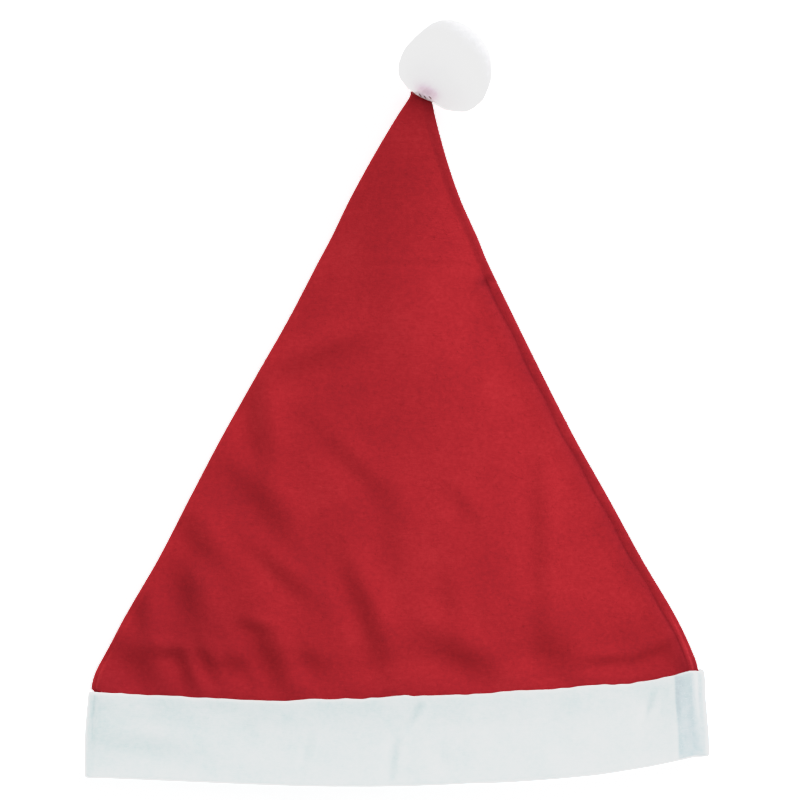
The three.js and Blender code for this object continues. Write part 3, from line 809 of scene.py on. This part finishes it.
def makeBand():
    inside = hat["crownWall"] / 2 + hat["gap"]
    outside = inside + hat["bandWall"]
    top, edge = hat["bandHeight"], band["edgeRound"]
    middle, half = (inside + outside) / 2, hat["bandWall"] / 2
    rows = [(felt, outside, 1.0) for felt in np.linspace(edge, top - edge, band["rows"])]
    rows += [(top - inward * edge, middle + out * half, groove) for inward, out, groove in cutEdge]
    rows += [(felt, inside, 0.0) for felt in np.linspace(top - edge, edge, band["insideRows"])]
    rows += [(inward * edge, middle + out * half, groove) for inward, out, groove in foldedEdge]
    felt = np.array([row[0] for row in rows])
    around = stationsAt(np.zeros(len(rows)) + top / 2, band["frontSteps"], band["backSteps"])
    lengths = np.broadcast_to(felt[:, None], around.shape)
    plan = feltPoints(around, lengths, 0, lambda x, y, felt: 0 * x)
    wavy = 0
    for cell, stretch, share, seed in band["edgeWaves"]:
        wavy = wavy + share * softBumps(plan[..., 0], stretch * plan[..., 2], cell, seed)
    wavy = wavy * smooth((lengths - top + band["edgeWaveRun"]) / band["edgeWaveRun"])
    away = np.array([row[1] for row in rows])[:, None]
    strength = np.array([row[2] for row in rows])[:, None]
    run = 2 * (skinHalf(top / 2 + 0 * felt) - hat["foldRadius"])[:, None]
    inboard = np.where(around <= 1, (1 - around) * run, -outOfReach)
    fromJoin = inboard - band["joinInset"]
    join = band["joinDepth"] * np.maximum(0, 1 - np.abs(fromJoin) / band["joinReach"])
    cutLengths = lengths + band["edgeWave"] * wavy
    corners = feltPoints(around, cutLengths, away - strength * join, bandRelief)
    faces = ringFaces(len(rows), around.shape[1], True)
    shown = corners[: band["rows"]]
    shownFaces = ringFaces(len(shown), around.shape[1], False)
    host = makePiece("bandFuzzHost", shown.reshape(-1, 3), shownFaces, whiteFelt)
    piece = makePiece("bandFelt", corners.reshape(-1, 3), faces, whiteFelt)
    # Painted shade on the strip beyond the join and round the right side, where the band turns away from the
    # lamp.
    beyondJoin = 1 - smooth((fromJoin + band["joinFade"] / 2) / band["joinFade"])
    roundSide = np.where(np.mod(around, 4) < band["shadedTo"], 1.0, 0.0)
    bandShade = np.where(np.mod(around, 4) < 1, beyondJoin, roundSide)
    keepPressAndShade(piece, band["joinShade"] * bandShade.ravel())
    return piece, host


bandFelt, bandHost = makeBand()
bandFuzz = growOn(bandHost, fibreTree, "bandFuzz", {
    "Density": band["fuzzDensity"], "Length": band["fuzzLength"], "Thickness": band["fuzzThickness"],
    "Rise": 0.1, "Lean": 1.0, "Clump": 1.5, "Clump Size": 0.006,
    "Seed": 5, "Material": whiteFibre,
})
print("band made", len(bandFelt.data.polygons), len(bandFuzz.data.polygons))


# Pompom: a ball of loose fibre, sewn to the crown's tip and pressed flat where it lies

pompom = {
    "centre": (22.45, 334.4, 19.8),
    "topRadius": 20.6,
    "squash": 1.6,
    "fringe": 0.5,
    "lumpRadius": 21,
    "lumps": [(11.0, 0.25), (5.0, 0.12), (2.4, 0.07)],
    "probeFrom": 11.0,
    "probeTo": 26.0,
    "probeStep": 0.25,
    "tipRoom": 1.6,
    "endRoom": 1.0,
    "floorGap": 0.12,
    "bareBelow": 1.2,
    "bareGathered": 0.4,
    "fibreDensity": 900000.0,
    "fibreLength": 0.0018,
    "fibreThickness": 0.00007,
    # Painted pinkish shade and red glow where the fluff gathers round the tip: middle x, middle y, reach and
    # amount
    "gatherShades": [(10.0, 322.6, 4.2, 0.55), (13.8, 320.4, 3.6, 0.75), (17.5, 319.4, 3.0, 0.45)],
    # Small hollows beside the stitches, in the columns of the crown's folds
    "pinches": [
        (10.6, 322.8, 30, 3.6, 1.0, 0, 1.3, 0.0),
        (13.4, 321.0, 35, 4.0, 0.9, 0, 1.3, 0.0),
        (17.2, 319.6, 60, 3.4, 1.0, 0, 1.0, 0.0),
        (13.5, 325.0, 150, 6.0, 3.2, 0, 0.9, 0.0),
    ],
}

# Radius of the ball's outline by the heading in degrees, flat at the upper left, drawn in at the tip
# and full at the lower right.
pompomOutline = [
    (0, 21.6), (45, 20.6), (90, 20.9), (135, 19.0), (190, 22.0),
    (215, 20.2), (255, 19.1), (300, 24.2), (335, 22.8), (360, 21.6),
]


def makePompom():
    shape = bmesh.new()
    bmesh.ops.create_icosphere(shape, subdivisions=6, radius=1.0)
    ways = np.array([v.co[:] for v in shape.verts])
    faces = [[v.index for v in f.verts] for f in shape.faces]
    shape.free()
    heading = np.mod(np.degrees(np.arctan2(ways[:, 1], ways[:, 0])), 360)
    level = np.abs(ways[:, 2]) ** pompom["squash"]
    radius = smoothLine(pompomOutline, heading) * (1 - level) + pompom["topRadius"] * level
    for size, height in pompom["lumps"]:
        bumps = np.array([noise.noise(Vector(way * pompom["lumpRadius"] / size)) for way in ways])
        radius += height * (1 - 2 * np.abs(bumps))
    radius -= pompom["fringe"]
    centre = np.array(pompom["centre"])
    # The ball is dented where the crown's tip is sewn into it.
    reach = np.full(len(ways), outOfReach)
    room = pompom["tipRoom"]
    for step in np.arange(pompom["probeFrom"], pompom["probeTo"], pompom["probeStep"]):
        point = centre + ways * step
        y = np.clip(point[:, 1], 0, hat["length"])
        loft = hat["mouthLoft"] * smoothLine(loftLine, y / hat["length"])
        low = underside(y)
        across = np.clip((point[:, 0] - middleX(y)) / skinHalf(y), -1, 1)
        end = hat["length"] + pompom["endRoom"] - hat["tipSkew"] * across
        inTip = (np.abs(point[:, 0] - middleX(y)) < skinHalf(y) + room) & (point[:, 1] < end)
        inTip &= (point[:, 2] > low - room) & (point[:, 2] < low + loft + room)
        reach = np.where(inTip & (reach > step), step - pompom["probeStep"], reach)
    dented = reach < radius
    corners = centre + ways * np.minimum(radius, reach)[:, None]
    hollows = foldHeight(pompom["pinches"], corners[:, 0], corners[:, 1])
    corners[:, 2] += np.where(ways[:, 2] > 0, hollows, 0)
    corners[:, 2] = np.maximum(corners[:, 2], pompom["floorGap"])
    # Painted pinkish shade where the fluff gathers round the tip; the fluff is left bare there too.
    gatherShade = np.zeros(len(corners))
    for midX, midY, spread, amount in pompom["gatherShades"]:
        away = (corners[:, 0] - midX) ** 2 + (corners[:, 1] - midY) ** 2
        gatherShade += amount * np.exp(-(away / spread**2))
    bare = dented | (corners[:, 2] < pompom["bareBelow"]) | (gatherShade > pompom["bareGathered"])
    fluffy = [face for face in faces if not bare[face].any()]
    host = makePiece("pompomHost", corners, fluffy, whiteFluff)
    piece = makePiece("pompomBall", corners, faces, whiteFluff)
    keepPressAndShade(piece, np.clip(gatherShade, 0, 1))
    return piece, host


pompomBall, pompomHost = makePompom()


# Stitches: twisted polyester thread, short and dark where the tip goes into the ball; the dark colour is
# partly painted shade for the small shadows at the stitches

# The thread's dark tones are partly painted shade, for the small shadows at the stitches.
stitchThread = makeFelt("twistedPolyesterThreadRed", {
    "dark": "#4d0f16", "mid": "#5c141c", "light": "#6d1b24",
    "cloudMm": 4.0, "grainMm": 0.4, "strandLengthMm": 1.2, "strandWidthMm": 0.2,
    "cloudShare": 0.3, "grainShare": 0.4, "strandShare": 0.4, "from": 0.36, "to": 0.8,
    "bump": 0.3, "reliefMm": 0.05, "sheen": 0.1, "soak": 0.0, "soakMm": 1.0, "pressAndShadeTint": "#ffffff",
})

thread = {
    "thickness": 0.55,
    "sides": 8,
    "steps": 10,
    "sunk": 0.1,
    "arch": 0.35,
    "leastEnd": 0.2,
    # Each stitch from its start x, y to its end x, y
    "stitches": [(10.2, 320.6, 11.4, 319.2), (12.4, 319.7, 13.6, 318.2), (14.6, 319.2, 16.0, 318.0)],
}


# Height of the topmost felt or fluff at a place of the hat's plan.
def topAt(x, y, surfaces):
    above = Vector((x / 1000 + hemMiddle[0], y / 1000 + hemMiddle[1], 0.1))
    hits = [surface.ray_cast(above, Vector((0, 0, -1)))[0] for surface in surfaces]
    return max(hit.z * 1000 for hit in hits if hit)


def makeStitches():
    depsgraph = bpy.context.evaluated_depsgraph_get()
    surfaces = [bvhtree.BVHTree.FromObject(piece, depsgraph) for piece in (pompomBall, crownFelt)]
    count, rows = thread["sides"], thread["steps"] + 1
    corners, faces = [], []
    for startX, startY, endX, endY in thread["stitches"]:
        first, last = len(corners), len(corners) + (rows - 1) * count
        way = Vector((endX - startX, endY - startY, 0)).normalized()
        beside, up = Vector((-way.y, way.x, 0)), Vector((0, 0, 1))
        for step in range(rows):
            share = step / thread["steps"]
            x, y = startX + (endX - startX) * share, startY + (endY - startY) * share
            arch = thread["arch"] * math.sin(math.pi * share)
            middle = Vector((x, y, topAt(x, y, surfaces) - thread["sunk"] + arch))
            taper = math.sqrt(max(thread["leastEnd"] ** 2, 1 - (2 * share - 1) ** 4))
            for side in range(count):
                angle = 2 * math.pi * side / count
                out = math.cos(angle) * beside + math.sin(angle) * up
                corners.append((middle + thread["thickness"] / 2 * taper * out)[:])
        faces += [tuple(first + i for i in face) for face in ringFaces(rows, count, False)]
        faces.append(tuple(first + i for i in reversed(range(count))))
        faces.append(tuple(last + i for i in range(count)))
    return makePiece("tipStitches", corners, faces, stitchThread)


tipStitches = makeStitches()
pompomFluff = growOn(pompomHost, fibreTree, "pompomFluff", {
    "Density": pompom["fibreDensity"], "Length": pompom["fibreLength"], "Thickness": pompom["fibreThickness"],
    "Rise": 0.3, "Lean": 1.0, "Clump": 2.6, "Clump Size": 0.006,
    "Seed": 8, "Material": looseFluff,
})
print("pompom made", len(pompomBall.data.polygons), len(pompomFluff.data.polygons))


# Studio: a pale floor, a large soft lamp from the upper right, and a camera straight above

studio = {
    "viewMiddle": (0.0014, 0.0015),
    "viewWidth": 0.3718,
    "viewHeight": 0.01,
    "lens": 250.0,
    "sensor": 36.0,
    "farthest": 20.0,
    "lampFrom": (3.29, 3.92, 4.0),
    "lampSize": 9.0,
    "lampWatts": 660.0,
    "sky": 0.56,
    "whitest": 2.12,
    # Light that reaches the camera, and the tone shown for it
    "tones": [
        (0.35, 0.35), (0.6, 0.6), (0.74, 0.735), (0.86, 0.79),
        (1.05, 0.825), (1.3, 0.84), (1.7, 0.855), (2.02, 0.99),
    ],
    "floor": "#f7f7f7",
    "floorCloud": "#fafafa",
    "floorHalf": 6.0,
    "floorGlow": 1.4,
}


def makeStudio():
    scene = bpy.context.scene
    material = bpy.data.materials.new("opalLightTable")  # matt opal acrylic, softly lit from below
    material.use_nodes = True
    tree = material.node_tree
    tree.nodes.clear()
    place = addNode(tree, "ShaderNodeTexCoord").outputs["Object"]
    tone = addNode(tree, "ShaderNodeTexNoise", {"Vector": place, "Scale": 3.0, "Detail": 2.0})
    ramp = addNode(tree, "ShaderNodeValToRGB", {"Fac": tone.outputs["Fac"]})
    ramp.color_ramp.elements[0].color = toLinear(studio["floor"])
    ramp.color_ramp.elements[1].color = toLinear(studio["floorCloud"])
    shader = addNode(tree, "ShaderNodeBsdfPrincipled", {
        "Base Color": ramp.outputs["Color"], "Roughness": 0.9, "Specular IOR Level": 0.1,
        "Emission Color": (1.0, 1.0, 1.0, 1.0), "Emission Strength": studio["floorGlow"],
    })
    addNode(tree, "ShaderNodeOutputMaterial", {"Surface": shader.outputs["BSDF"]})
    mesh = bpy.data.meshes.new("floor")
    half = studio["floorHalf"]
    corners = [(-half, -half, 0), (half, -half, 0), (half, half, 0), (-half, half, 0)]
    mesh.from_pydata(corners, [], [(0, 1, 2, 3)])
    mesh.materials.append(material)
    floor = bpy.data.objects.new("floor", mesh)
    scene.collection.objects.link(floor)

    lamp = bpy.data.lights.new("softLamp", "AREA")
    lamp.shape, lamp.size, lamp.energy = "SQUARE", studio["lampSize"], studio["lampWatts"]
    holder = bpy.data.objects.new("softLamp", lamp)
    holder.location = studio["lampFrom"]
    holder.rotation_euler = Vector(studio["lampFrom"]).to_track_quat("Z", "Y").to_euler()
    scene.collection.objects.link(holder)

    world = bpy.data.worlds.new("paleRoom")
    world.use_nodes = True
    sky = world.node_tree.nodes["Background"].inputs
    sky["Color"].default_value = (1.0, 1.0, 1.0, 1.0)
    sky["Strength"].default_value = studio["sky"]
    scene.world = world

    camera = bpy.data.cameras.new("camera")
    camera.lens, camera.sensor_width = studio["lens"], studio["sensor"]
    camera.clip_end = studio["farthest"]
    viewer = bpy.data.objects.new("camera", camera)
    distance = studio["viewWidth"] * studio["lens"] / studio["sensor"]
    viewer.location = (*studio["viewMiddle"], studio["viewHeight"] + distance)
    scene.collection.objects.link(viewer)
    scene.camera = viewer
    scene.view_settings.view_transform = "Standard"

    # A camera's soft shoulder: pale tones are pressed together below the white of the table.
    tones = scene.view_settings.curve_mapping
    scene.view_settings.use_curve_mapping = True
    tones.white_level = [studio["whitest"]] * 3
    shoulder = tones.curves[3]
    for light, shown in studio["tones"]:
        shoulder.points.new(light / studio["whitest"], shown)
    tones.update()


makeStudio()
print("studio made")


# Each piece rides on the hat's one body

for piece, slotName in (
    (crownFelt, "red_felt"), (crownFuzz, "red_felt"), (bandFelt, "white_felt"), (bandFuzz, "white_felt"),
    (pompomBall, "white_tufts"), (pompomFluff, "white_tufts"), (tipStitches, "red_felt"),
):
    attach(piece, "root")
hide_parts("crown")
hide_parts("band")
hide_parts("pompom")

bpy.context.view_layer.update()
print("pieces placed")
